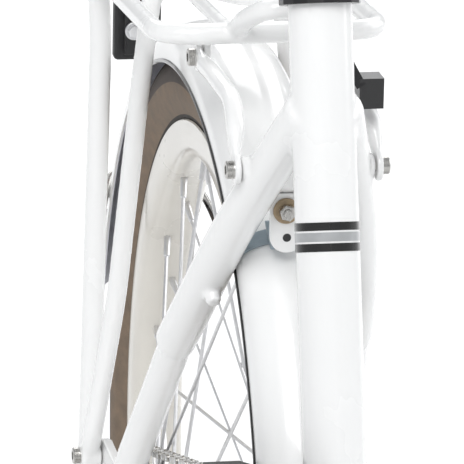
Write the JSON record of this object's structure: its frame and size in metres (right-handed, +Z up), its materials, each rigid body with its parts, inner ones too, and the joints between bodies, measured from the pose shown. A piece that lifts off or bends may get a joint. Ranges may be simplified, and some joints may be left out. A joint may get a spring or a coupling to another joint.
{
  "type": "folding bicycle",
  "caption": "White folding bicycle with small wheels, low curved main beam, hinged frame and handlepost, rear rack, fenders and kickstand.",
  "frame": {"origin": "where the rear tyre meets the ground, straight below the rear axle", "axes": "+X forward along the bicycle, +Y to the rider's left, +Z up"},
  "size_m": [1.4883, 0.5976, 1.1539],
  "materials": {
    "white_paint": "gloss",
    "bright_steel": "satin",
    "silver_alloy": "satin",
    "black_metal": "satin",
    "black_plastic": "matte",
    "brown_leather": "matte",
    "cream_rim": "gloss",
    "tyre_rubber": "matte",
    "red_lens": "gloss"
  },
  "bodies": {
    "rear_assembly": {"rear_frame": "white_paint", "seat_clamp_collar": "black_metal", "rear_fender": "white_paint", "fender_clip": "bright_steel", "rear_fender_stay": "bright_steel", "rack": "white_paint", "rack_strut_left": "white_paint", "rack_strut_right": "white_paint", "rear_reflector_housing": "black_plastic", "rear_reflector_lens": "red_lens", "fender_lamp": "black_plastic", "bottom_bracket_cartridge": "bright_steel", "chain": "bright_steel", "chain_guard": "black_plastic", "kickstand_bracket": "bright_steel", "rear_axle": "bright_steel", "coaster_brake_arm": "bright_steel", "frame_hinge_pin": "bright_steel"},
    "seat_quick_release": {"seat_clamp_lever": "black_metal"},
    "seat": {"seat_post": "silver_alloy", "saddle_frame": "black_plastic", "saddle": "brown_leather"},
    "rear_wheel": {"rear_tyre": "tyre_rubber", "rear_rim": "cream_rim", "rear_spokes_left": "bright_steel", "rear_spokes_right": "bright_steel", "rear_hub_shell": "silver_alloy"},
    "sprocket": {"rear_sprocket": "bright_steel"},
    "crankset": {"crank_spindle": "bright_steel", "chainring": "bright_steel", "crank_arm_left": "silver_alloy", "crank_arm_right": "silver_alloy"},
    "left_pedal": {"pedal_left": "black_plastic"},
    "right_pedal": {"pedal_right": "black_plastic"},
    "kickstand": {"kickstand_leg": "silver_alloy"},
    "spring_clip": {"rack_spring_clip": "white_paint"},
    "front_assembly": {"front_frame": "white_paint", "headset": "bright_steel"},
    "frame_latch": {"frame_latch_lever": "black_metal"},
    "steering": {"fork": "white_paint", "front_axle": "bright_steel", "front_fender": "white_paint", "front_fender_stay": "bright_steel", "stem_base": "black_metal"},
    "front_wheel": {"front_tyre": "tyre_rubber", "front_rim": "cream_rim", "front_spokes_left": "bright_steel", "front_spokes_right": "bright_steel", "front_hub_shell": "silver_alloy"},
    "left_brake_arm": {"front_brake_arm_left": "silver_alloy"},
    "right_brake_arm": {"front_brake_arm_right": "silver_alloy"},
    "handlebar_assembly": {"handlepost": "white_paint", "handlebar": "silver_alloy", "grip_left": "brown_leather", "grip_right": "brown_leather", "brake_lever_bracket": "black_metal", "bell": "bright_steel"},
    "handlepost_latch": {"handlepost_latch_lever": "black_metal"},
    "brake_lever_body": {"brake_lever": "silver_alloy"},
    "bell_striker": {"bell_lever": "black_metal"}
  },
  "joints": [
    {"name": "seat_quick_release_turn", "type": "hinge", "parent": "rear_assembly", "child": "seat_quick_release", "pos_m": [0.19418, 0.0128, 0.59418], "axis": [0, 1, 0], "range_deg": [0, 120]},
    {"name": "seat_post_slide", "type": "slide", "parent": "rear_assembly", "child": "seat", "axis": [-0.2874, 0, 0.9578], "range_m": [-0.15, 0.06]},
    {"name": "rear_wheel_spin", "type": "hinge", "parent": "rear_assembly", "child": "rear_wheel", "pos_m": [0, 0, 0.25], "axis": [0, 1, 0], "continuous": true},
    {"name": "crank_spin", "type": "hinge", "parent": "rear_assembly", "child": "crankset", "pos_m": [0.312, 0, 0.285], "axis": [0, 1, 0], "continuous": true},
    {"name": "rear_sprocket_spin", "type": "hinge", "parent": "rear_assembly", "child": "sprocket", "pos_m": [0, 0, 0.25], "axis": [0, 1, 0], "continuous": true},
    {"name": "pedal_left_spin", "type": "hinge", "parent": "crankset", "child": "left_pedal", "pos_m": [0.20452, 0.12, 0.17752], "axis": [0, 1, 0], "continuous": true},
    {"name": "pedal_right_spin", "type": "hinge", "parent": "crankset", "child": "right_pedal", "pos_m": [0.41948, -0.12, 0.39248], "axis": [0, 1, 0], "continuous": true},
    {"name": "kickstand_fold", "type": "hinge", "parent": "rear_assembly", "child": "kickstand", "pos_m": [0.126, 0.07, 0.244], "axis": [-0.1247, 0.9855, 0.1155], "range_deg": [0, 84]},
    {"name": "rack_clip_lift", "type": "hinge", "parent": "rear_assembly", "child": "spring_clip", "pos_m": [-0.208, 0, 0.52681], "axis": [0, -1, 0], "range_deg": [0, 75], "stiffness_Nm_per_rad": 0.6},
    {"name": "frame_fold", "type": "hinge", "parent": "rear_assembly", "child": "front_assembly", "pos_m": [0.452, 0.04, 0.301], "axis": [0, 0, 1], "range_deg": [0, 144]},
    {"name": "frame_latch_turn", "type": "hinge", "parent": "front_assembly", "child": "frame_latch", "pos_m": [0.469, -0.036, 0.301], "axis": [0, 0, -1], "range_deg": [0, 110]},
    {"name": "steering_turn", "type": "hinge", "parent": "front_assembly", "child": "steering", "pos_m": [0.928, 0, 0.25], "axis": [-0.2874, 0, 0.9578], "range_deg": [-40, 40]},
    {"name": "front_wheel_spin", "type": "hinge", "parent": "steering", "child": "front_wheel", "pos_m": [0.97, 0, 0.25], "axis": [0, 1, 0], "continuous": true},
    {"name": "brake_arm_left_turn", "type": "hinge", "parent": "steering", "child": "left_brake_arm", "pos_m": [0.90405, 0.0444, 0.40986], "axis": [0.9578, 0, 0.2874], "range_deg": [0, 3.5]},
    {"name": "brake_arm_right_turn", "type": "hinge", "parent": "steering", "child": "right_brake_arm", "pos_m": [0.90405, -0.0444, 0.40986], "axis": [-0.9578, 0, -0.2874], "range_deg": [0, 3.5]},
    {"name": "handlepost_fold", "type": "hinge", "parent": "steering", "child": "handlebar_assembly", "pos_m": [0.81336, -0.02192, 0.70839], "axis": [0.6773, 0.7071, 0.2032], "range_deg": [0, 165]},
    {"name": "handlepost_latch_turn", "type": "hinge", "parent": "steering", "child": "handlepost_latch", "pos_m": [0.77279, 0.02404, 0.68369], "axis": [-0.6773, -0.7071, -0.2032], "range_deg": [0, 110]},
    {"name": "brake_lever_pull", "type": "hinge", "parent": "handlebar_assembly", "child": "brake_lever_body", "pos_m": [0.66726, -0.15472, 1.10823], "axis": [0.2874, 0, -0.9578], "range_deg": [0, 18], "stiffness_Nm_per_rad": 0.8},
    {"name": "bell_lever_push", "type": "hinge", "parent": "handlebar_assembly", "child": "bell_striker", "pos_m": [0.6291, 0.15472, 1.13103], "axis": [-0.2874, 0, 0.9578], "range_deg": [0, 25], "stiffness_Nm_per_rad": 0.05}
  ],
  "couplings": [
    {"joint": "rear_sprocket_spin", "follows": "crank_spin", "ratio": 2.375},
    {"joint": "brake_arm_left_turn", "follows": "brake_lever_pull", "ratio": 0.19},
    {"joint": "brake_arm_right_turn", "follows": "brake_lever_pull", "ratio": 0.19}
  ]
}
